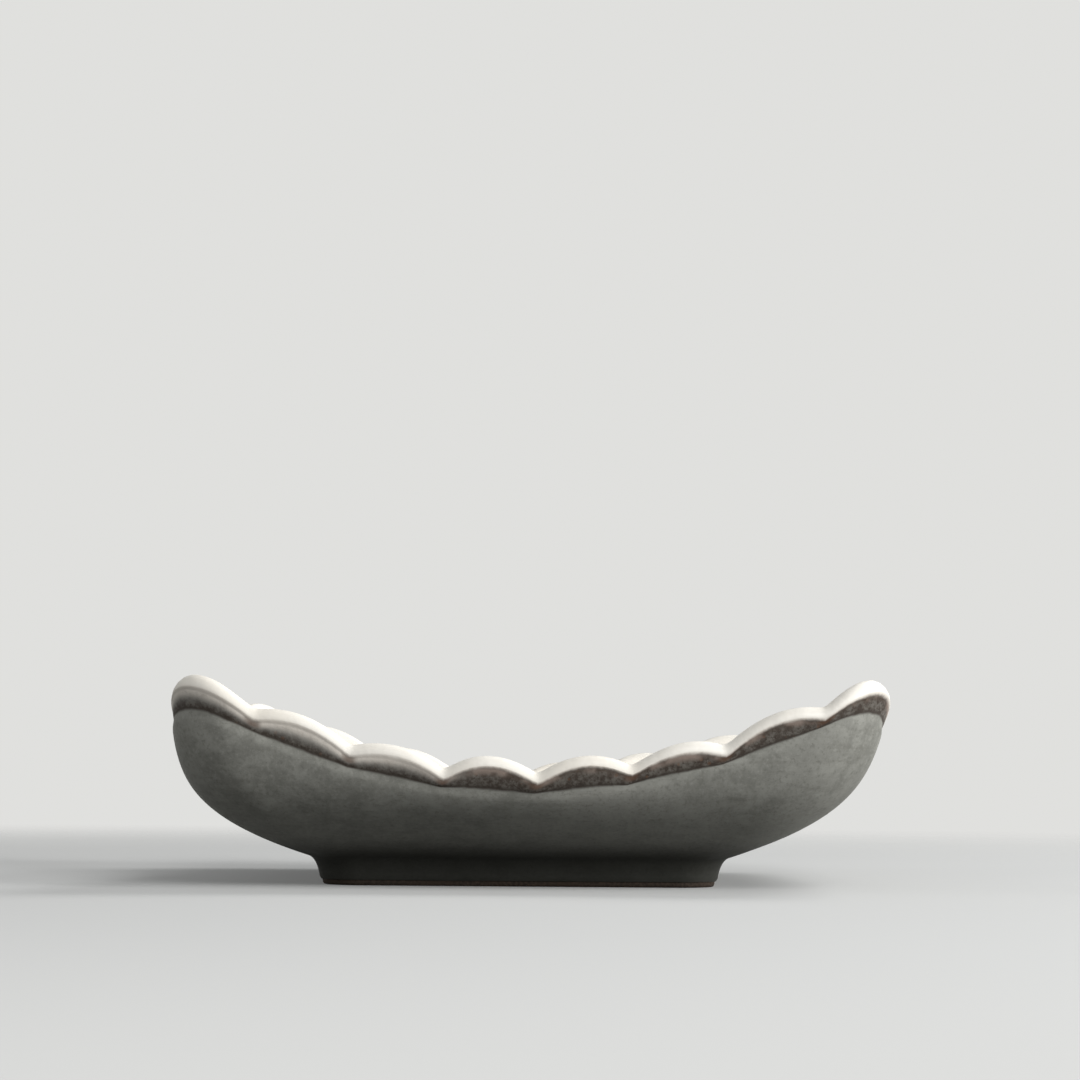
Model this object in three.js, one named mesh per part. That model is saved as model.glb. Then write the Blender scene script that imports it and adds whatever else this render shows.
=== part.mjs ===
// A square stoneware plate with a petalled rim, standing on a square foot ring.
// Units are millimetres and +Z is up. The viewer in front looks along +Y.
// The origin is on the table, under the middle of the plate.
import * as THREE from "three";
import { mergeVertices } from "three/addons/utils/BufferGeometryUtils.js";

// Plan of the rim: a square with round corners, cut into petals, with a wider one at each corner
const sideStraight = 96;
const cornerRadius = 12;
const sidePetals = 6;
const sidePetal = 15.75;
const petalShift = 1.5;
const petalSwellDepth = 0.7;
const notchDepth = 2.3;
const notchReach = 5.6;

// Height of the clay lip's shoulder at the middle of a side, and how the corners rise and flare out
const shoulderHeight = 20.6;
const cornerRise = 17.5;
const farCornerRise = 14.8;
const cornerFlare = 2.6;

// Clay thickness, in the floor and at the lip
const floorThickness = 4.2;
const lipThickness = 2.4;

// Outer wall: it leaves the foot at a low angle and turns up steeply at the belly
const footHeight = 5.4;
const footJoint = 37;
const bellyRun = 18;
const bellyRise = 6.8;
const bellyHeight = 14.3;
const bellyFollow = 0.27;

// Foot ring: half its width at the table, its wall, and how far it sits to the left of the middle
const footHalf = 35;
const footWall = 4.5;
const footDraft = 0.3;
const footHollowAt = 4.4;
const footShift = -1.85;

// Glaze coats: how thick they are, and how far below the shoulder or up the foot their edges lie
const whiteThickness = 0.7;
const whiteEdge = 0.7;
const greyThickness = 0.4;
const greyEdge = 3.4;
const greyEndsAt = 0.12;

// Mesh steps
const petalSteps = 4;
const wallSteps = 4;
const footSteps = 3;
const floorShares = [0.45, 0.85];

const halfWidth = sideStraight / 2 + cornerRadius;
const sideLength = sideStraight + (Math.PI / 2) * cornerRadius;
const perimeter = 4 * sideLength;
const cornerPetal = sideLength - sidePetals * sidePetal;
const petalCount = 4 * (sidePetals + 1);
const floorHeight = footHeight + floorThickness;

// A point of the rim's plan at a distance along it, with the outward direction there
function rimPlan(distance) {
  const along = ((distance % perimeter) + perimeter) % perimeter;
  const side = Math.floor(along / sideLength);
  const onSide = along - side * sideLength;
  const point = new THREE.Vector2(onSide - sideStraight / 2, -halfWidth);
  const outward = new THREE.Vector2(0, -1);
  if (onSide > sideStraight) {
    const angle = (onSide - sideStraight) / cornerRadius - Math.PI / 2;
    outward.set(Math.cos(angle), Math.sin(angle));
    point.set(sideStraight / 2, -sideStraight / 2).addScaledVector(outward, cornerRadius);
  }
  const middle = new THREE.Vector2();
  const turn = (side * Math.PI) / 2;
  return { point: point.rotateAround(middle, turn), outward: outward.rotateAround(middle, turn) };
}

// The distance along the rim's plan at which a petal, or a share of it, starts
function petalStart(petal) {
  const side = Math.floor(petal / (sidePetals + 1));
  const onSide = petal - side * (sidePetals + 1);
  const first = (sideStraight - sidePetals * sidePetal) / 2 + petalShift + side * sideLength;
  return first + Math.min(onSide, sidePetals) * sidePetal + Math.max(onSide - sidePetals, 0) * cornerPetal;
}

// One station round the plate: its direction, the last two points that steer its outer wall,
// how many millimetres its wall climbs near the lip for a whole step of height, and how full its petal is
function stationAt(step) {
  const petal = step / petalSteps;
  const { point, outward } = rimPlan(petalStart(petal));
  const across = 2 * (petal % 1) - 1;
  const corner = ((point.x * point.y) / halfWidth ** 2) ** 2;
  const rise = corner * THREE.MathUtils.mapLinear(point.y, -halfWidth, halfWidth, cornerRise, farCornerRise);
  const belly = new THREE.Vector2(halfWidth, bellyHeight + bellyFollow * rise);
  const shoulder = new THREE.Vector2(halfWidth + cornerFlare * corner ** 2, shoulderHeight + rise);
  return {
    ray: point.divideScalar(halfWidth),
    outward,
    belly,
    shoulder,
    climb: 3 * belly.distanceTo(shoulder),
    fullness: 1 - across ** 2,
  };
}

// The height along a station's wall, from 0 to 1, that lies some millimetres below the shoulder
function heightBelow(station, drop) {
  return 1 - drop / station.climb;
}

// A point on a station's ray, at a half width and a level; the foot and floor sit off the middle
function rayPoint(station, half, level, shift) {
  return new THREE.Vector3(station.ray.x * half + shift, station.ray.y * half, level);
}

// A point of the outer wall, from the foot joint (0) to the lip's shoulder (1), moved in by a depth
function wallPoint(station, height, depth) {
  const profile = new THREE.CubicBezierCurve(
    new THREE.Vector2(footJoint, footHeight),
    new THREE.Vector2(footJoint + bellyRun, footHeight + bellyRise),
    station.belly,
    station.shoulder,
  );
  const spot = profile.getPoint(height);
  const slope = profile.getTangent(height);
  const slant = station.ray.dot(station.outward);
  const away = new THREE.Vector2(slope.y, -slope.x * slant).normalize();
  const petalled = THREE.MathUtils.smoothstep(height, heightBelow(station, notchReach), 1);
  const drop = petalled * notchDepth * (1 - station.fullness);
  const swell = petalled * petalSwellDepth * station.fullness;
  const point = rayPoint(station, spot.x, spot.y - drop - away.y * depth, footShift * (1 - height ** 2));
  point.x += station.outward.x * (swell - away.x * depth);
  point.y += station.outward.y * (swell - away.x * depth);
  return point;
}

// A point of the foot ring's outer face, from the table (0) to the joint (1), standing proud of it
function footPoint(station, height, proud) {
  const profile = new THREE.QuadraticBezierCurve(
    new THREE.Vector2(footHalf, 0),
    new THREE.Vector2(footHalf + footDraft, footHollowAt),
    new THREE.Vector2(footJoint, footHeight),
  );
  const spot = profile.getPoint(height);
  const slope = profile.getTangent(height);
  const point = rayPoint(station, spot.x, spot.y - slope.x * proud, footShift);
  point.x += station.outward.x * slope.y * proud;
  point.y += station.outward.y * slope.y * proud;
  return point;
}

// The half-round lip, standing proud of the clay, from the outside over to the inside
function lipPoints(station, proud) {
  const outer = wallPoint(station, 1, -proud);
  const inner = wallPoint(station, 1, lipThickness + proud);
  const middle = outer.clone().lerp(inner, 0.5);
  const across = outer.clone().sub(middle);
  const up = new THREE.Vector3(0, 0, across.length());
  return [Math.PI / 4, Math.PI / 2, (3 * Math.PI) / 4].map((angle) =>
    middle.clone().addScaledVector(across, Math.cos(angle)).addScaledVector(up, Math.sin(angle)),
  );
}

// Even steps from one height up a wall to another
function heightsUp(from, to, steps) {
  return Array.from({ length: steps + 1 }, (_, i) => THREE.MathUtils.lerp(from, to, i / steps));
}

// The wall's heights: up to the grey coat's edge, the white coat's edge, and the shoulder
function wallHeights(station) {
  const greyTop = heightBelow(station, greyEdge);
  return [...heightsUp(0, greyTop, wallSteps), heightBelow(station, whiteEdge), 1];
}

// Clay thickness thins evenly from the foot joint to the lip
function clayDepth(height) {
  return THREE.MathUtils.lerp(floorThickness, lipThickness, height);
}

// The clay's inner face, from the floor out and up to the lip, with a coat of glaze on it
function insideFace(station, coat) {
  return [
    ...floorShares.map((share) => rayPoint(station, footJoint * share, floorHeight + coat, footShift)),
    ...wallHeights(station).map((height) => wallPoint(station, height, clayDepth(height) + coat)),
  ];
}

// A closed skin round the plate, from one cross-section for each station.
// A section that starts and ends on the plate's middle line is closed there with two fans.
// Each patch is cut along its shorter diagonal, so that a coat and the clay under it share faces.
function loft(sections, meetsMiddle) {
  const around = sections.length;
  const across = sections[0].length;
  const points = sections.flat();
  const positions = points.flatMap((point) => point.toArray());
  const index = [];
  const at = (i, j) => (i % around) * across + (j % across);
  for (let i = 0; i < around; i++) {
    for (let j = 0; j < (meetsMiddle ? across - 1 : across); j++) {
      const [a, b, c, d] = [at(i, j), at(i + 1, j), at(i + 1, j + 1), at(i, j + 1)];
      const cutFromA = points[a].distanceTo(points[c]) < points[b].distanceTo(points[d]);
      index.push(...(cutFromA ? [a, b, c, a, c, d] : [a, b, d, b, c, d]));
    }
  }
  if (meetsMiddle) {
    const under = positions.length / 3;
    positions.push(footShift, 0, sections[0][0].z, footShift, 0, sections[0][across - 1].z);
    for (let i = 0; i < around; i++) {
      index.push(under, at(i + 1, 0), at(i, 0));
      index.push(under + 1, at(i, across - 1), at(i + 1, across - 1));
    }
  }
  const geometry = new THREE.BufferGeometry();
  geometry.setAttribute("position", new THREE.Float32BufferAttribute(positions, 3));
  geometry.setIndex(index);
  return mergeVertices(geometry);
}

function piece(name, geometry, color, roughness) {
  geometry.computeVertexNormals();
  const mesh = new THREE.Mesh(geometry, new THREE.MeshStandardMaterial({ color, roughness, metalness: 0 }));
  mesh.name = name;
  return mesh;
}

const footHeights = [0, ...heightsUp(greyEndsAt, 1, footSteps)];
const stations = Array.from({ length: petalCount * petalSteps }, (_, i) => stationAt(i));

// The pressed clay slab: floor, belly, wall and petalled lip
function dishBody() {
  const sections = stations.map((station) => [
    ...floorShares.map((share) => rayPoint(station, footJoint * share, footHeight, footShift)),
    ...wallHeights(station).map((height) => wallPoint(station, height, 0)),
    ...lipPoints(station, 0),
    ...insideFace(station, 0).toReversed(),
  ]);
  return piece("dish_body", loft(sections, true), 0x4a3a30, 0.85);
}

// The foot: a square ring of clay, joined to the slab's flat underside
function footRing() {
  const sections = stations.map((station) => [
    rayPoint(station, footHalf - footWall, 0, footShift),
    ...footHeights.map((height) => footPoint(station, height, 0)),
    rayPoint(station, footHalf - footWall, footHeight, footShift),
  ]);
  return piece("foot_ring", loft(sections, false), 0x4a3a30, 0.85);
}

// The white coat: it fills the inside, rolls over the lip and ends just outside it
function whiteCoat() {
  const sections = stations.map((station) => [
    ...insideFace(station, 0),
    ...lipPoints(station, 0).toReversed(),
    wallPoint(station, 1, 0),
    wallPoint(station, heightBelow(station, whiteEdge), 0),
    wallPoint(station, heightBelow(station, whiteEdge), -whiteThickness / 2),
    wallPoint(station, 1, -whiteThickness),
    ...lipPoints(station, whiteThickness),
    ...insideFace(station, whiteThickness).toReversed(),
  ]);
  return piece("white_glaze", loft(sections, true), 0xf1ece0, 0.35);
}

// The grey coat: it covers the outside, from the line under the petals down to just above the table
function greyCoat() {
  const onFoot = footHeights.filter((height) => height >= greyEndsAt);
  const sections = stations.map((station) => {
    const onWall = wallHeights(station).slice(1, wallSteps + 1);
    return [
      ...onFoot.map((height) => footPoint(station, height, greyThickness)),
      ...onWall.map((height) => wallPoint(station, height, -greyThickness)),
      ...onWall.toReversed().map((height) => wallPoint(station, height, 0)),
      ...onFoot.toReversed().map((height) => footPoint(station, height, 0)),
    ];
  });
  return piece("grey_glaze", loft(sections, false), 0x74746e, 0.6);
}

export default new THREE.Group().add(dishBody(), footRing(), whiteCoat(), greyCoat());
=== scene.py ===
import math
import bpy
import numpy as np
from mathutils import Matrix, Vector


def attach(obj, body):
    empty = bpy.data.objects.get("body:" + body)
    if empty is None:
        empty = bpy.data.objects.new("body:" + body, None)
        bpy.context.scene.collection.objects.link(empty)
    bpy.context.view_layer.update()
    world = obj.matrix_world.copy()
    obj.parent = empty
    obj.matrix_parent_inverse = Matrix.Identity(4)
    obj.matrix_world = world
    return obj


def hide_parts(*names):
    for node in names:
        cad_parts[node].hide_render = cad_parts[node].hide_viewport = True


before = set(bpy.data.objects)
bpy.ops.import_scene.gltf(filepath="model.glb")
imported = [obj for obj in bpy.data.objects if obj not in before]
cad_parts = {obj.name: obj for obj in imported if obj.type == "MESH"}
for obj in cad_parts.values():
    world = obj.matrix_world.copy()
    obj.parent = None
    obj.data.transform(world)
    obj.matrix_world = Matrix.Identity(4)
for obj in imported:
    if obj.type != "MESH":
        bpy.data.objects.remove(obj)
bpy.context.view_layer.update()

# The dish: one slab of dark, iron-bearing stoneware, pressed over a square form until its corners sweep up.
# Its rim is nicked into petals and rounded by hand. The clay shows only in a dark speckled band outside,
# between the white coat and the grey one, and under the dish inside the foot.
side_straight = 0.096
corner_radius = 0.012
side_petals = 6
side_petal = 0.01575
petal_shift = 0.0015
petal_swell = 0.0007
notch_depth = 0.0023
notch_reach = 0.0056
shoulder_height = 0.0206
corner_rise = 0.0175
far_corner_rise = 0.0148
corner_flare = 0.0026
floor_thickness = 0.0042
lip_thickness = 0.0024
foot_height = 0.0054
foot_joint = 0.037
belly_run = 0.018
belly_rise = 0.0068
belly_height = 0.0143
belly_follow = 0.27
foot_shift = -0.00185
notch_rounding = 0.13
inside_reach = 0.009
floor_easing = 0.002
petal_rise = 0.0003
unevenness = 0.0007
lump_size = 0.03
hand_seed = 7
sharp_from = 50
petal_steps = 20
wall_steps = 26
edge_steps = 8
floor_shares = (0.04, 0.2, 0.4, 0.6, 0.75, 0.86, 0.94)
inner_shares = (0.04, 0.2, 0.35, 0.5, 0.6, 0.7, 0.8)

half_width = side_straight / 2 + corner_radius
side_length = side_straight + math.pi / 2 * corner_radius
corner_petal = side_length - side_petals * side_petal
petal_count = 4 * (side_petals + 1)
petal = np.arange(petal_count * petal_steps) / petal_steps
first_side = np.floor(petal / (side_petals + 1))
side_petal_number = petal - first_side * (side_petals + 1)
distance = (side_straight - side_petals * side_petal) / 2 + petal_shift + first_side * side_length
distance += np.minimum(side_petal_number, side_petals) * side_petal
distance += np.maximum(side_petal_number - side_petals, 0) * corner_petal
side = np.floor(distance / side_length)
on_side = distance - side * side_length
bend = np.maximum(on_side - side_straight, 0) / corner_radius


def quarter_turned(x, y):
    angle = side * math.pi / 2
    return np.stack([x * np.cos(angle) - y * np.sin(angle), x * np.sin(angle) + y * np.cos(angle)], 1)


# Round the rim, each station has its way outward, its ray from the middle and how near a corner it is
outward = quarter_turned(np.sin(bend), -np.cos(bend))
straight = quarter_turned(np.minimum(on_side, side_straight) - side_straight / 2, -side_straight / 2)
ray = (straight + corner_radius * outward) / half_width
corner = (ray[:, 0] * ray[:, 1]) ** 2
slant = np.sum(ray * outward, 1)
far_share = (1 + ray[:, 1]) / 2
rise = corner * (corner_rise + (far_corner_rise - corner_rise) * far_share)
belly_z = belly_height + belly_follow * rise
shoulder_x = half_width + corner_flare * corner ** 2
shoulder_z = shoulder_height + rise
climb = 3 * np.hypot(shoulder_x - half_width, shoulder_z - belly_z)
pointed = 1 - (2 * (petal % 1) - 1) ** 2
fullness = np.hypot(pointed, notch_rounding) - notch_rounding
fullness /= math.hypot(1, notch_rounding) - notch_rounding


def height_below(drop):
    return 1 - drop / climb


# A ring of points: places round the plate, how high up the wall they are, from 0 at the foot
# to 1 at the lip, and whether they lie on the outer face
def ring(half, level, height):
    half = np.broadcast_to(half, petal.shape)
    height = np.broadcast_to(height, petal.shape)
    place = np.stack([ray[:, 0] * half + foot_shift * (1 - height ** 2), ray[:, 1] * half], 1)
    return np.column_stack([place, np.broadcast_to(level, petal.shape), height, np.ones_like(petal)])


def curve_at(points, height):
    a, b, c, d = points
    rest = 1 - height
    spot = rest ** 3 * a + 3 * rest ** 2 * height * b + 3 * rest * height ** 2 * c + height ** 3 * d
    slope = 3 * (rest ** 2 * (b - a) + 2 * rest * height * (c - b) + height ** 2 * (d - c))
    return spot, slope


# A ring on the outer face of the wall, moved in along the wall's own normal by a depth
def wall(height, depth=0.0):
    half, half_slope = curve_at((foot_joint, foot_joint + belly_run, half_width, shoulder_x), height)
    level, level_slope = curve_at((foot_height, foot_height + belly_rise, belly_z, shoulder_z), height)
    steepness = np.hypot(level_slope, half_slope * slant)
    across = depth * level_slope / steepness
    points = ring(half, level + depth * half_slope * slant / steepness, height)
    points[:, :2] -= outward * across[:, None]
    points[:, 4] = np.less_equal(depth, 0)
    return points


def clay_depth(height):
    return floor_thickness + (lip_thickness - floor_thickness) * height


# The rings of the rounded lip, from the outside over to the inside, with a coat of its own thickness
# on each face
def lip(outside, inside):
    outer = wall(np.ones_like(petal), -outside)
    inner = wall(np.ones_like(petal), lip_thickness + inside)
    middle = (outer + inner) / 2
    reach = outer - middle
    width = np.linalg.norm(reach[:, :3], axis=1)
    rings = []
    for angle in np.linspace(0, math.pi, edge_steps + 1)[1:-1]:
        over = middle + reach * math.cos(angle)
        over[:, 2] += width * math.sin(angle)
        over[:, 3:] = (1, 0)
        rings.append(over)
    return rings


# The inner face, from the floor out and up to the lip, with a coat of some thickness on it.
# The floor runs into the wall in a soft hollow, without a crease.
def inside_face(coat):
    floor_level = foot_height + floor_thickness + coat
    rings = [ring(foot_joint * share, floor_level, 0) for share in inner_shares]
    easings = [floor_easing * share ** 3 for share in inner_shares]
    for height in wall_heights():
        rings.append(wall(height, clay_depth(height) + coat))
        easings.append(floor_easing)
    for points, easing in zip(rings, easings):
        above = points[:, 2] - floor_level
        points[:, 2] = floor_level + (above + np.hypot(above, easing)) / 2
        points[:, 4] = 0
    return rings


# Heights up the wall, closer together between the edge of the grey coat and the lip
def wall_heights():
    below = [height_below(grey_edge) * share for share in np.linspace(0, 1, wall_steps + 1)]
    above = [height_below(grey_edge * share) for share in np.linspace(1, 0, edge_steps + 1)[1:]]
    return below + above


# The edges of the two coats wander a little, because both were poured and wiped by hand
around = 2 * math.pi * petal / petal_count
white_edge = 0.0008 + 0.00014 * np.sin(5 * around + 0.7) + 0.0001 * np.sin(17 * around + 2.1)
grey_edge = 0.0036 + 0.00018 * np.sin(3 * around + 1.9) + 0.00012 * np.sin(11 * around + 0.4)


# A tree that cuts the petals into a plain shell: it lowers the rim at each notch, swells each petal
# between them, and gives the whole wall the small unevenness of a hand-pressed pot
def petal_tree():
    tree = bpy.data.node_groups.new("Petalled rim", "GeometryNodeTree")
    tree.interface.new_socket("Geometry", in_out="INPUT", socket_type="NodeSocketGeometry")
    for name in ("Notch Depth", "Petal Swell", "Petal Rise", "Unevenness", "Lump Size"):
        tree.interface.new_socket(name, in_out="INPUT", socket_type="NodeSocketFloat")
    tree.interface.new_socket("Seed", in_out="INPUT", socket_type="NodeSocketInt")
    tree.interface.new_socket("Finish", in_out="INPUT", socket_type="NodeSocketMaterial")
    tree.interface.new_socket("Geometry", in_out="OUTPUT", socket_type="NodeSocketGeometry")
    given = tree.nodes.new("NodeGroupInput").outputs

    def attribute(name, kind="FLOAT"):
        found = tree.nodes.new("GeometryNodeInputNamedAttribute")
        found.data_type = kind
        found.inputs["Name"].default_value = name
        return found.outputs["Attribute"]

    def maths(operation, *terms):
        step = tree.nodes.new("ShaderNodeMath")
        step.operation = operation
        return fed(step, terms)

    def vector_maths(operation, *terms):
        step = tree.nodes.new("ShaderNodeVectorMath")
        step.operation = operation
        return fed(step, terms)

    def fed(step, terms):
        for socket, term in zip(step.inputs, terms):
            if isinstance(term, bpy.types.NodeSocket):
                tree.links.new(term, socket)
            else:
                socket.default_value = term
        return step.outputs[0]

    def share_for(number, low, high, seed_step):
        pick = tree.nodes.new("FunctionNodeRandomValue")
        pick.data_type = "FLOAT"
        float_sockets = {s.identifier: s for s in pick.inputs}
        float_sockets["Min_001"].default_value = low
        float_sockets["Max_001"].default_value = high
        tree.links.new(number, float_sockets["ID"])
        tree.links.new(maths("ADD", given["Seed"], seed_step), float_sockets["Seed"])
        return [s for s in pick.outputs if s.identifier == "Value_001"][0]

    along = attribute("petal")
    strength = attribute("petalled")
    full = attribute("fullness")
    hollow = maths("SUBTRACT", 1.0, full)
    this_petal = maths("FLOOR", along)
    this_notch = maths("MODULO", maths("ROUND", along), float(petal_count))

    drop = maths("MULTIPLY", given["Notch Depth"], share_for(this_notch, 0.82, 1.12, 1))
    drop = maths("MULTIPLY", maths("MULTIPLY", drop, hollow), strength)
    rise = maths("MULTIPLY", given["Petal Rise"], share_for(this_petal, -1.0, 1.0, 2))
    rise = maths("MULTIPLY", maths("MULTIPLY", rise, full), strength)
    swell = maths("MULTIPLY", given["Petal Swell"], share_for(this_petal, 0.75, 1.2, 3))
    swell = maths("MULTIPLY", maths("MULTIPLY", swell, full), strength)
    lift = tree.nodes.new("ShaderNodeCombineXYZ")
    tree.links.new(maths("SUBTRACT", rise, drop), lift.inputs["Z"])
    push = vector_maths("SCALE", attribute("outward", "FLOAT_VECTOR"))
    tree.links.new(swell, push.node.inputs["Scale"])

    lumps = tree.nodes.new("ShaderNodeTexNoise")
    lumps.inputs["Detail"].default_value = 1.0
    here = tree.nodes.new("GeometryNodeInputPosition").outputs["Position"]
    tree.links.new(here, lumps.inputs["Vector"])
    tree.links.new(maths("DIVIDE", 1.0, given["Lump Size"]), lumps.inputs["Scale"])
    lump = vector_maths("SUBTRACT", lumps.outputs["Color"], (0.5, 0.5, 0.5))
    level = tree.nodes.new("ShaderNodeSeparateXYZ")
    tree.links.new(here, level.inputs["Vector"])
    above_table = tree.nodes.new("ShaderNodeMapRange")
    tree.links.new(level.outputs["Z"], above_table.inputs["Value"])
    above_table.inputs["From Max"].default_value = foot_height
    uneven = vector_maths("SCALE", lump)
    amount = maths("MULTIPLY", given["Unevenness"], above_table.outputs["Result"])
    tree.links.new(amount, uneven.node.inputs["Scale"])

    shaped = tree.nodes.new("GeometryNodeSetPosition")
    tree.links.new(given["Geometry"], shaped.inputs["Geometry"])
    moved = vector_maths("ADD", vector_maths("ADD", push, lift.outputs["Vector"]), uneven)
    tree.links.new(moved, shaped.inputs["Offset"])
    real = tree.nodes.new("GeometryNodeRealizeInstances")
    tree.links.new(shaped.outputs["Geometry"], real.inputs["Geometry"])
    finished = tree.nodes.new("GeometryNodeSetMaterial")
    tree.links.new(real.outputs["Geometry"], finished.inputs["Geometry"])
    tree.links.new(given["Finish"], finished.inputs["Material"])
    result = tree.nodes.new("NodeGroupOutput")
    tree.links.new(finished.outputs["Geometry"], result.inputs["Geometry"])
    return tree


petals = petal_tree()


# A closed skin through the rings. One that starts and ends near the middle is closed there with two fans.
# Each point keeps how far it lies below the edge of the white coat, and below that of the grey one.
# The underside counts as far below both, and the inside as far above.
far_off = 0.02


def shell(name, rings, meets_middle):
    points = np.stack(rings)
    rows, columns = points.shape[:2]
    number = np.arange(rows * columns).reshape(rows, columns)
    faces = []
    for row in range(rows - 1 if meets_middle else rows):
        here, above = number[row], number[(row + 1) % rows]
        faces.append(np.stack([here, np.roll(here, -1), np.roll(above, -1), above], 1))
    faces = np.concatenate(faces).tolist()
    middles = []
    if meets_middle:
        middles = [[foot_shift, 0, points[0, 0, 2]], [foot_shift, 0, points[-1, 0, 2]]]
        under, top = rows * columns, rows * columns + 1
        first, last = number[0].tolist(), number[-1].tolist()
        faces += [[under, after, here] for here, after in zip(first, first[1:] + first[:1])]
        faces += [[top, here, after] for here, after in zip(last, last[1:] + last[:1])]
    mesh = bpy.data.meshes.new(name)
    mesh.from_pydata(points[..., :3].reshape(-1, 3).tolist() + middles, [], faces)

    def keep(label, values, at_middles=(0, 0)):
        values = np.broadcast_to(values, (rows, columns)).reshape(-1)
        values = np.append(values, at_middles[: len(middles)]).astype(np.float32)
        mesh.attributes.new(label, "FLOAT", "POINT").data.foreach_set("value", values)

    height, outside = points[..., 3], points[..., 4]
    drop = (1 - height) * climb
    reach = np.where(outside > 0, notch_reach, inside_reach)
    share = np.clip(1 - drop / reach, 0, 1)
    keep("petal", petal)
    keep("fullness", fullness)
    keep("petalled", share ** 2 * (3 - 2 * share))
    keep("below_white", np.where(outside > 0, drop - white_edge, -far_off), (far_off, -far_off))
    keep("below_grey", np.where(outside > 0, drop - grey_edge, -far_off), (far_off, -far_off))
    ways = np.zeros((len(mesh.vertices), 3), np.float32)
    ways[: rows * columns, :2] = np.tile(outward, (rows, 1))
    mesh.attributes.new("outward", "FLOAT_VECTOR", "POINT").data.foreach_set("vector", ways.reshape(-1))
    piece = bpy.data.objects.new(name, mesh)
    bpy.context.scene.collection.objects.link(piece)
    return piece


# Cuts the petals into a shell, gives it its finish, and keeps the result as a plain mesh
def press(piece, finish):
    cutter = piece.modifiers.new("Petalled rim", "NODES")
    cutter.node_group = petals
    sizes = {
        "Notch Depth": notch_depth,
        "Petal Swell": petal_swell,
        "Petal Rise": petal_rise,
        "Unevenness": unevenness,
        "Lump Size": lump_size,
        "Seed": hand_seed,
        "Finish": finish,
    }
    for item in petals.interface.items_tree:
        if item.name in sizes:
            cutter[item.identifier] = sizes[item.name]
    evaluated = piece.evaluated_get(bpy.context.evaluated_depsgraph_get())
    pressed = bpy.data.meshes.new_from_object(evaluated)
    piece.modifiers.clear()
    piece.data = pressed
    pressed.polygons.foreach_set("use_smooth", [True] * len(pressed.polygons))
    pressed.set_sharp_from_angle(angle=math.radians(sharp_from))
    return piece


# One node of a finish: its settings, then its inputs, each a plain value or another node's output
def add(tree, kind, inputs=(), **settings):
    made = tree.nodes.new(kind)
    for setting, value in settings.items():
        setattr(made, setting, value)
    for socket, value in dict(inputs).items():
        if isinstance(value, bpy.types.NodeSocket):
            tree.links.new(value, made.inputs[socket])
        else:
            made.inputs[socket].default_value = value
    return made


def finish_named(name, roughness, specular):
    finish = bpy.data.materials.new(name)
    finish.use_nodes = True
    tree = finish.node_tree
    shader = tree.nodes["Principled BSDF"]
    shader.inputs["Roughness"].default_value = roughness
    shader.inputs["Specular IOR Level"].default_value = specular
    place = tree.nodes.new("ShaderNodeTexCoord").outputs["Object"]
    return finish, tree, shader, place


def noise(tree, place, size, detail=4.0, roughness=0.55, stretch=None):
    if stretch is not None:
        place = add(tree, "ShaderNodeMapping", {"Vector": place, "Scale": stretch}).outputs["Vector"]
    texture = add(tree, "ShaderNodeTexNoise", {"Vector": place, "Scale": 1 / size, "Detail": detail})
    texture.inputs["Roughness"].default_value = roughness
    return texture.outputs["Fac"]


def between(tree, value, low, high, bottom=0.0, top=1.0):
    spread = {"Value": value, "From Min": low, "From Max": high, "To Min": bottom, "To Max": top}
    return add(tree, "ShaderNodeMapRange", spread, interpolation_type="SMOOTHSTEP").outputs["Result"]


def mixed(tree, share, first, second):
    mixer = tree.nodes.new("ShaderNodeMix")
    mixer.data_type = "RGBA"
    sockets = {s.identifier: s for s in mixer.inputs}
    for name, value in (("Factor_Float", share), ("A_Color", first), ("B_Color", second)):
        if isinstance(value, bpy.types.NodeSocket):
            tree.links.new(value, sockets[name])
        else:
            sockets[name].default_value = value if isinstance(value, float) else (*value, 1.0)
    return [s for s in mixer.outputs if s.identifier == "Result_Color"][0]


def sum_of(tree, first, second):
    return add(tree, "ShaderNodeMath", {0: first, 1: second}, operation="ADD").outputs[0]


def difference(tree, first, second):
    return add(tree, "ShaderNodeMath", {0: first, 1: second}, operation="SUBTRACT").outputs[0]


def product(tree, first, second):
    return add(tree, "ShaderNodeMath", {0: first, 1: second}, operation="MULTIPLY").outputs[0]


# Small round spots: one in some of the cells, with a soft edge
def spots(tree, place, spacing, size, share):
    cells = add(tree, "ShaderNodeTexVoronoi", {"Vector": place, "Scale": 1 / spacing})
    near = between(tree, cells.outputs["Distance"], size / spacing, 0.5 * size / spacing)
    picked = add(tree, "ShaderNodeSeparateColor", {"Color": cells.outputs["Color"]}).outputs["Red"]
    chosen = add(tree, "ShaderNodeMath", {0: picked, 1: share}, operation="LESS_THAN").outputs[0]
    return product(tree, near, chosen)


def bump(tree, shader, *layers):
    normal = None
    for strength, depth, height in layers:
        inputs = {"Strength": strength, "Distance": depth, "Height": height}
        if normal is not None:
            inputs["Normal"] = normal
        normal = add(tree, "ShaderNodeBump", inputs).outputs["Normal"]
    tree.links.new(normal, shader.inputs["Normal"])


# The colour of the iron band: speckled dark brown, burnt red in the notches, pinkish in patches where
# the white coat ran thin over it, and pale on the left, where that thin film covers most of the band
clay_dark = (0.062, 0.049, 0.04)
clay_light = (0.155, 0.142, 0.124)
clay_grain = (0.05, 0.038, 0.03)
rust_red = (0.18, 0.09, 0.05)
burnt_brown = (0.07, 0.05, 0.038)
thin_pink = (0.38, 0.305, 0.26)
film_grey = (0.34, 0.335, 0.308)
film_cream = (0.72, 0.67, 0.60)
line_brown = (0.05, 0.041, 0.034)
notch_red = (0.10, 0.056, 0.036)
film_right_end = -0.006
film_full_from = -0.028


def fine_grain(tree, place):
    return noise(tree, place, 0.0005, 4.0, 0.65)


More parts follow.
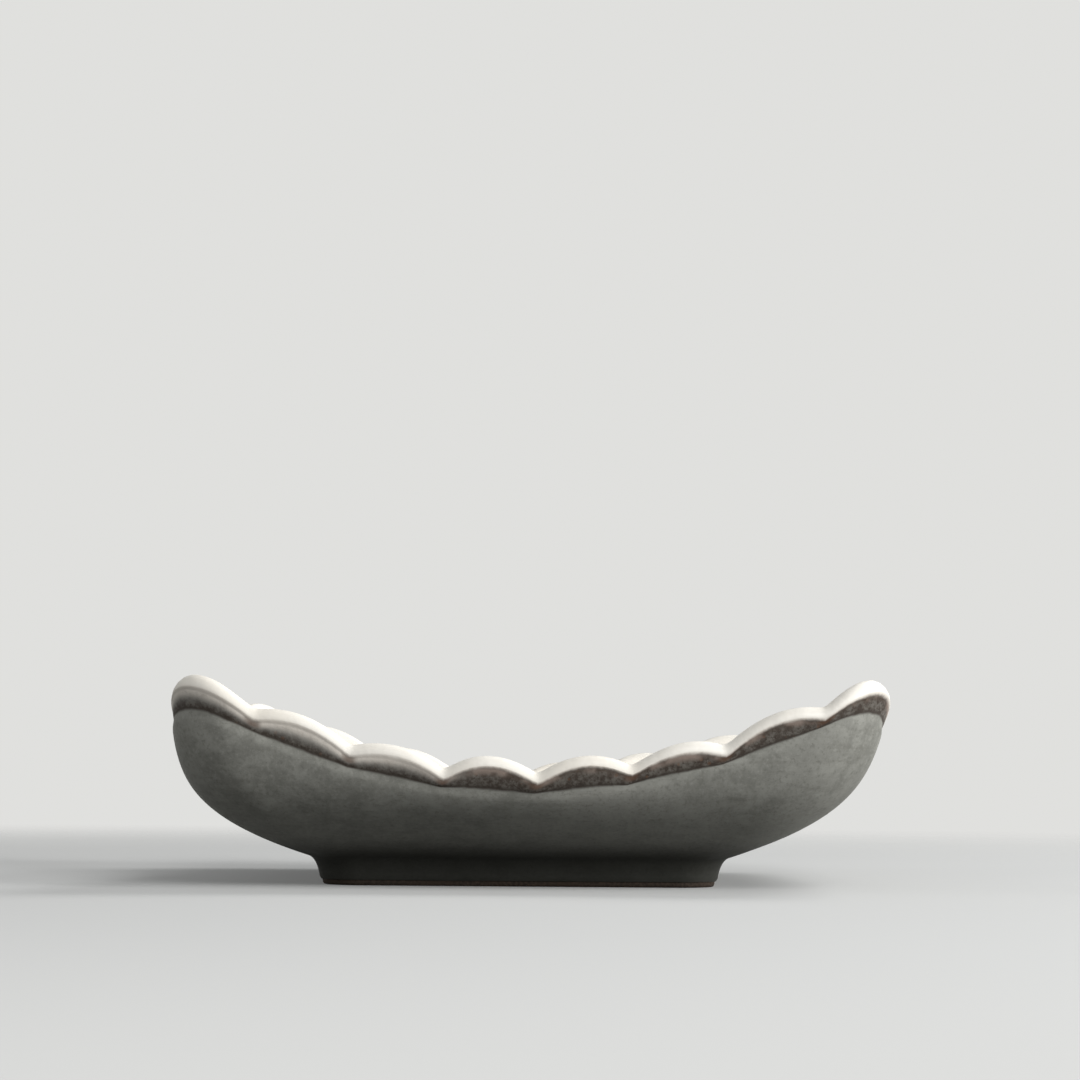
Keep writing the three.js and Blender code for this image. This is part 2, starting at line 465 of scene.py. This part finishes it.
def clay_blotches(tree, place):
    return noise(tree, place, 0.0014, 5.0, 0.65)


def band_colour(tree, place):
    below_white = add(tree, "ShaderNodeAttribute", attribute_name="below_white").outputs["Fac"]
    below_grey = add(tree, "ShaderNodeAttribute", attribute_name="below_grey").outputs["Fac"]
    full = add(tree, "ShaderNodeAttribute", attribute_name="fullness").outputs["Fac"]
    across = add(tree, "ShaderNodeSeparateXYZ", {"Vector": place}).outputs["X"]
    left = between(tree, across, film_right_end, film_full_from)
    right = between(tree, across, film_full_from, film_right_end)
    grain = fine_grain(tree, place)
    blotches = clay_blotches(tree, place)
    patches = noise(tree, place, 0.006, 3.0)

    band = mixed(tree, between(tree, blotches, 0.36, 0.64), clay_dark, clay_light)
    band = mixed(tree, product(tree, between(tree, grain, 0.5, 0.64), 0.8), band, clay_grain)
    rust = spots(tree, place, 0.0013, 0.0004, 0.25)
    band = mixed(tree, product(tree, rust, 0.4), band, rust_red)

    wandering_edge = difference(tree, below_white, product(tree, patches, 0.0016))
    burnt = product(tree, between(tree, wandering_edge, 0.0004, -0.0010), right)
    band = mixed(tree, product(tree, burnt, 0.75), band, burnt_brown)
    near_white = between(tree, below_white, 0.0014, 0.0)
    pink = product(tree, near_white, between(tree, patches, 0.46, 0.60))
    band = mixed(tree, product(tree, pink, 0.6), band, thin_pink)

    fading = between(tree, below_grey, -0.0001, -0.0028)
    film = mixed(tree, between(tree, below_white, 0.0022, -0.0001), film_grey, film_cream)
    broken = between(tree, blotches, 0.2, 0.55, 0.75, 1.0)
    band = mixed(tree, product(tree, product(tree, left, fading), broken), band, film)

    line_at = difference(tree, below_grey, product(tree, blotches, 0.0008))
    line_top = between(tree, line_at, -0.0010, -0.0001)
    line = product(tree, line_top, between(tree, line_at, 0.004, 0.002))
    band = mixed(tree, product(tree, line, 0.85), band, line_brown)

    clear_of_white = between(tree, below_white, 0.0022, 0.0006)
    in_notch = product(tree, between(tree, full, 0.30, 0.02), clear_of_white)
    return mixed(tree, product(tree, in_notch, 0.75), band, notch_red)


def iron_clay():
    finish, tree, shader, place = finish_named("Iron stoneware", 0.6, 0.15)
    grain = fine_grain(tree, place)
    tree.links.new(band_colour(tree, place), shader.inputs["Base Color"])
    tree.links.new(between(tree, grain, 0.3, 0.7, 0.45, 0.75), shader.inputs["Roughness"])
    bump(tree, shader, (0.4, 0.0001, grain), (0.4, 0.00015, clay_blotches(tree, place)))
    return finish


# The coats share the clay's faces, so only the band between them and the underside are seen
def dish_rings():
    under = [ring(foot_joint * share, foot_height, 0) for share in floor_shares]
    return under + [wall(height) for height in wall_heights()] + lip(0, 0) + inside_face(0)[::-1]


dish_clay = press(shell("dish_clay", dish_rings(), True), iron_clay())
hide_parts("dish_body")
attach(dish_clay, "root")


# The foot: a square ring of the same clay, luted to the underside with slip and trimmed slightly hollow.
# Its table edge was wiped clean of glaze, and its corners are softened by the sponge.
foot_half = 0.035
foot_wall = 0.0045
foot_draft = 0.0003
foot_hollow_at = 0.0044
foot_edge = 0.0005
foot_bare_share = 0.12
foot_steps = 14
# The foot's colours are the clay's own dark tones, darkened by half more as painted shade where the foot
# stands at the table
shaded_foot_dark = (0.035, 0.027, 0.021)
shaded_foot_light = (0.075, 0.056, 0.043)
shaded_foot_patch = (0.055, 0.039, 0.028)


# A ring on the foot's outer face, which is slightly hollow and flares out into the belly
def foot_face(height, proud=0.0):
    rest = 1 - height
    half = rest ** 2 * foot_half + 2 * rest * height * (foot_half + foot_draft) + height ** 2 * foot_joint
    level = 2 * rest * height * foot_hollow_at + height ** 2 * foot_height
    half_slope = 2 * (rest * foot_draft + height * (foot_joint - foot_half - foot_draft))
    level_slope = 2 * (rest * foot_hollow_at + height * (foot_height - foot_hollow_at))
    length = np.hypot(half_slope, level_slope)
    points = ring(half, level - proud * half_slope / length, 0)
    points[:, :2] += outward * (proud * level_slope / length)
    return points


def foot_rings():
    inner = foot_half - foot_wall
    quarter = np.linspace(0, math.pi / 2, 4)
    over = foot_edge * (1 - np.cos(quarter))
    level = foot_edge * (1 - np.sin(quarter))
    rings = [ring(inner + across, above, 0) for across, above in zip(over, level)]
    rings += [ring(foot_half - across, above, 0) for across, above in zip(over[::-1], level[::-1])]
    rings += [foot_face(height) for height in np.linspace(foot_bare_share, 1, foot_steps)]
    return rings + [ring(inner, foot_height, 0)]


def foot_finish():
    finish, tree, shader, place = finish_named("Bare foot clay", 0.8, 0.15)
    grain = noise(tree, place, 0.0005, 3.0)
    patches = noise(tree, place, 0.008, 4.0)
    # Painted shade in part: the bare foot clay is darker than the clay itself
    colour = mixed(tree, between(tree, grain, 0.35, 0.7), shaded_foot_dark, shaded_foot_light)
    colour = mixed(tree, between(tree, patches, 0.4, 0.75), colour, shaded_foot_patch)
    tree.links.new(colour, shader.inputs["Base Color"])
    tree.links.new(between(tree, grain, 0.3, 0.7, 0.7, 0.9), shader.inputs["Roughness"])
    bump(tree, shader, (0.6, 0.00015, grain))
    return finish


foot_clay = press(shell("foot_clay", foot_rings(), False), foot_finish())
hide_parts("foot_ring")
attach(foot_clay, "root")


# The grey coat: a thin iron-grey glaze over the outside, from a line under the petals to just above
# the table. It fires to a fine, mottled, half-matt skin. Its top edge feathers out in a dark line.
# Toward the foot its colour is painted much darker: painted shade under the overhanging belly,
# with some real darkening where the thicker glaze ran down over the foot.
grey_thickness = 0.0004
grey_feather = 0.0028
grey_dark = (0.205, 0.205, 0.183)
grey_light = (0.31, 0.31, 0.28)
cloud_grey = (0.345, 0.343, 0.311)
streak_grey = (0.18, 0.177, 0.155)
grain_dark = (0.135, 0.132, 0.114)
grain_light = (0.38, 0.377, 0.343)
speck_brown = (0.16, 0.135, 0.11)
# Painted shade: the near-black the grey coat turns toward the foot, and the heights where it begins and is
# full
foot_shade_grey = (0.018, 0.0185, 0.015)
foot_shade_from = 0.0090
foot_shade_full = 0.0048


# A coat's thickness near its edge, where it feathers out
def feathered(thickness, gap, feather):
    share = np.clip(gap / feather, 0, 1)
    return thickness * share ** 2 * (3 - 2 * share)


def grey_rings():
    on_foot = np.linspace(foot_bare_share, 1, foot_steps)
    feather_start = height_below(grey_edge + grey_feather)
    heights = [feather_start * share for share in np.linspace(0, 1, wall_steps + 1)[1:]]
    gaps = grey_feather * np.linspace(1, 0, edge_steps)[1:-1]
    heights += [height_below(grey_edge + gap) for gap in gaps]
    rings = [foot_face(foot_bare_share, grey_thickness / 2)]
    rings += [foot_face(height, grey_thickness) for height in on_foot[1:]]
    for height in heights:
        gap = (height_below(grey_edge) - height) * climb
        rings.append(wall(height, -feathered(grey_thickness, gap, grey_feather)))
    against_clay = [wall(height) for height in heights + [height_below(grey_edge)]]
    return rings + against_clay[::-1] + [foot_face(height) for height in on_foot[::-1]]


def grey_finish():
    finish, tree, shader, place = finish_named("Grey glaze", 0.6, 0.12)
    below_grey = add(tree, "ShaderNodeAttribute", attribute_name="below_grey").outputs["Fac"]
    grain = noise(tree, place, 0.0007, 4.0, 0.7)
    mottle = noise(tree, place, 0.0035, 6.0, 0.65)
    clouds = noise(tree, place, 0.022, 3.0)
    streaks = noise(tree, place, 0.012, 5.0, 0.6, stretch=(1.0, 1.0, 9.0))
    grey = mixed(tree, between(tree, mottle, 0.3, 0.7), grey_dark, grey_light)
    grey = mixed(tree, product(tree, between(tree, clouds, 0.4, 0.7), 0.6), grey, cloud_grey)
    grey = mixed(tree, product(tree, between(tree, streaks, 0.5, 0.75), 0.45), grey, streak_grey)
    grey = mixed(tree, product(tree, between(tree, grain, 0.50, 0.70), 0.45), grey, grain_dark)
    grey = mixed(tree, product(tree, between(tree, grain, 0.46, 0.32), 0.35), grey, grain_light)
    specks = spots(tree, place, 0.0021, 0.00028, 0.22)
    grey = mixed(tree, product(tree, specks, 0.15), grey, speck_brown)
    past_line = difference(tree, below_grey, product(tree, mottle, 0.0009))
    grey = mixed(tree, between(tree, past_line, -0.0002, 0.0005), band_colour(tree, place), grey)
    # Painted shade: darker with less height, toward the foot under the belly's overhang
    level = add(tree, "ShaderNodeSeparateXYZ", {"Vector": place}).outputs["Z"]
    foot_shade = between(tree, level, foot_shade_from, foot_shade_full)
    grey = mixed(tree, product(tree, foot_shade, 0.9), grey, foot_shade_grey)
    tree.links.new(grey, shader.inputs["Base Color"])
    tree.links.new(between(tree, mottle, 0.3, 0.7, 0.52, 0.7), shader.inputs["Roughness"])
    bump(tree, shader, (0.3, 0.00008, grain), (0.35, 0.00015, mottle))
    return finish


grey_coat = press(shell("grey_coat", grey_rings(), False), grey_finish())
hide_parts("grey_glaze")
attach(grey_coat, "root")


# The white coat: a thick warm-white glaze that fills the inside and rolls over the lip like a bead.
# Just outside the lip it runs thin until the clay shows through, and it has a few small dark pits
# where gas broke through.
white_thickness = 0.0007
white_run = 0.0002
white_steps = 9
cream = (0.90, 0.866, 0.795)
deep_cream = (0.86, 0.812, 0.722)
ripple_white = (0.91, 0.886, 0.826)
pit_brown = (0.16, 0.10, 0.06)
thin_cream = (0.62, 0.53, 0.45)


def white_rings():
    drops = [white_edge * share for share in np.linspace(0, 1, white_steps + 1)]
    against_clay = inside_face(0) + lip(0, 0)[::-1] + [wall(height_below(drop)) for drop in drops]
    run = []
    for drop in drops[-2::-1]:
        run.append(wall(height_below(drop), -feathered(white_run, white_edge - drop, white_edge)))
    return against_clay + run + lip(white_run, white_thickness) + inside_face(white_thickness)[::-1]


def white_finish():
    finish, tree, shader, place = finish_named("White glaze", 0.42, 0.45)
    below_white = add(tree, "ShaderNodeAttribute", attribute_name="below_white").outputs["Fac"]
    clouds = noise(tree, place, 0.02, 4.0)
    ripple = noise(tree, place, 0.005, 3.0)
    peel = noise(tree, place, 0.0009, 2.0)
    white = mixed(tree, between(tree, clouds, 0.35, 0.7), cream, deep_cream)
    white = mixed(tree, product(tree, between(tree, ripple, 0.5, 0.75), 0.3), white, ripple_white)
    pits = spots(tree, place, 0.006, 0.0003, 0.12)
    white = mixed(tree, product(tree, pits, 0.85), white, pit_brown)
    thin = sum_of(tree, below_white, product(tree, clay_blotches(tree, place), 0.0007))
    white = mixed(tree, product(tree, between(tree, thin, -0.0008, 0.0), 0.4), white, thin_cream)
    white = mixed(tree, between(tree, thin, -0.0004, 0.0003), white, band_colour(tree, place))
    tree.links.new(white, shader.inputs["Base Color"])
    tree.links.new(between(tree, ripple, 0.3, 0.7, 0.38, 0.52), shader.inputs["Roughness"])
    sunk = difference(tree, 1.0, pits)
    bump(tree, shader, (0.2, 0.0001, peel), (0.4, 0.0005, ripple), (0.7, 0.0002, sunk))
    return finish


white_coat = press(shell("white_coat", white_rings(), True), white_finish())
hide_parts("white_glaze")
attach(white_coat, "root")


# The table: a plain pale sheet that fades into the pale room behind.
# Light that bounces off it meets a darker sheet, so that the foot keeps its depth.
sheet_half = 3.0
fade_from = 0.16
fade_to = 0.6
sheet_colour = (0.66, 0.665, 0.655, 1)
bounce_colour = (0.18, 0.18, 0.176, 1)
own_light = 0.15


# 1 for light that reaches the eye straight, in a reflection or through glass, and 0 for light that bounces
def seen_directly(tree):
    path = tree.nodes.new("ShaderNodeLightPath").outputs
    direct = path["Is Camera Ray"]
    for way in ("Is Glossy Ray", "Is Transmission Ray"):
        direct = add(tree, "ShaderNodeMath", {0: direct, 1: path[way]}, operation="MAXIMUM").outputs[0]
    return direct


def pale_sheet():
    corners = [(-sheet_half, -sheet_half, 0), (sheet_half, -sheet_half, 0)]
    corners += [(sheet_half, sheet_half, 0), (-sheet_half, sheet_half, 0)]
    mesh = bpy.data.meshes.new("table")
    mesh.from_pydata(corners, [], [(0, 1, 2, 3)])
    sheet = bpy.data.objects.new("table", mesh)
    bpy.context.scene.collection.objects.link(sheet)
    finish = bpy.data.materials.new("Pale sheet")
    finish.use_nodes = True
    tree = finish.node_tree
    tree.nodes.clear()
    shaded = add(tree, "ShaderNodeBsdfDiffuse", {"Color": sheet_colour}).outputs[0]
    plain = add(tree, "ShaderNodeEmission", {"Color": sheet_colour, "Strength": 1.0}).outputs[0]
    seen = add(tree, "ShaderNodeMixShader", {0: own_light, 1: shaded, 2: plain}).outputs[0]
    bounced = add(tree, "ShaderNodeBsdfDiffuse", {"Color": bounce_colour}).outputs[0]
    clear = tree.nodes.new("ShaderNodeBsdfTransparent").outputs[0]
    direct = seen_directly(tree)
    place = tree.nodes.new("ShaderNodeTexCoord").outputs["Object"]
    far = add(tree, "ShaderNodeVectorMath", {0: place}, operation="LENGTH").outputs["Value"]
    gone = product(tree, between(tree, far, fade_from, fade_to), direct)
    lit = add(tree, "ShaderNodeMixShader", {0: direct, 1: bounced, 2: seen}).outputs[0]
    shown = add(tree, "ShaderNodeMixShader", {0: gone, 1: lit, 2: clear}).outputs[0]
    add(tree, "ShaderNodeOutputMaterial", {"Surface": shown})
    mesh.materials.append(finish)


pale_sheet()


# Light: a lamp above and behind the right side, a weaker one high in front, and one low on each side.
# The room is pale to the eye, and gives only a little light of its own.
lamp_aim = Vector((0, 0, 0.02))


def lamp(name, place, size, power):
    light = bpy.data.lights.new(name, "AREA")
    light.shape = "DISK"
    light.size = size
    light.energy = power
    holder = bpy.data.objects.new(name, light)
    holder.location = place
    holder.rotation_euler = (lamp_aim - Vector(place)).to_track_quat("-Z", "Y").to_euler()
    bpy.context.scene.collection.objects.link(holder)


lamp("front", (0.2, -0.72, 0.45), 0.4, 2.5)
lamp("key", (0.45, 0.4, 0.6), 0.45, 3.0)
lamp("right side", (0.65, -0.3, 0.22), 0.4, 5.0)
lamp("left side", (-0.65, -0.2, 0.28), 0.4, 0.55)

room_seen = (0.745, 0.745, 0.728, 1)
room_light = (0.97, 0.985, 1.0, 1)
room_level = 0.2
world = bpy.data.worlds.new("Pale room")
bpy.context.scene.world = world
world.use_nodes = True
tree = world.node_tree
tree.nodes.clear()
shown = add(tree, "ShaderNodeBackground", {"Color": room_seen, "Strength": 1.0}).outputs[0]
lighting = add(tree, "ShaderNodeBackground", {"Color": room_light, "Strength": room_level}).outputs[0]
room = add(tree, "ShaderNodeMixShader", {0: seen_directly(tree), 1: lighting, 2: shown}).outputs[0]
add(tree, "ShaderNodeOutputWorld", {"Surface": room})


# The camera: almost level with the rim, tilted up, and turned a trifle so that the right end lies lower.
# Its place, tilt and lens were fitted to the photographed outline.
eye_place = (0.0015, -0.515, 0.0188)
eye_tilt = 5.07
eye_turn = 0.45
eye_lens = 90.1

camera = bpy.data.objects.new("camera", bpy.data.cameras.new("camera"))
camera.data.sensor_width = 36
camera.data.lens = eye_lens
camera.data.clip_start = 0.01
tilt = Matrix.Rotation(math.radians(90 + eye_tilt), 4, "X")
turn = Matrix.Rotation(math.radians(eye_turn), 4, "Z")
camera.matrix_world = Matrix.Translation(eye_place) @ tilt @ turn
bpy.context.scene.collection.objects.link(camera)
bpy.context.scene.camera = camera
bpy.context.scene.view_settings.view_transform = "Standard"
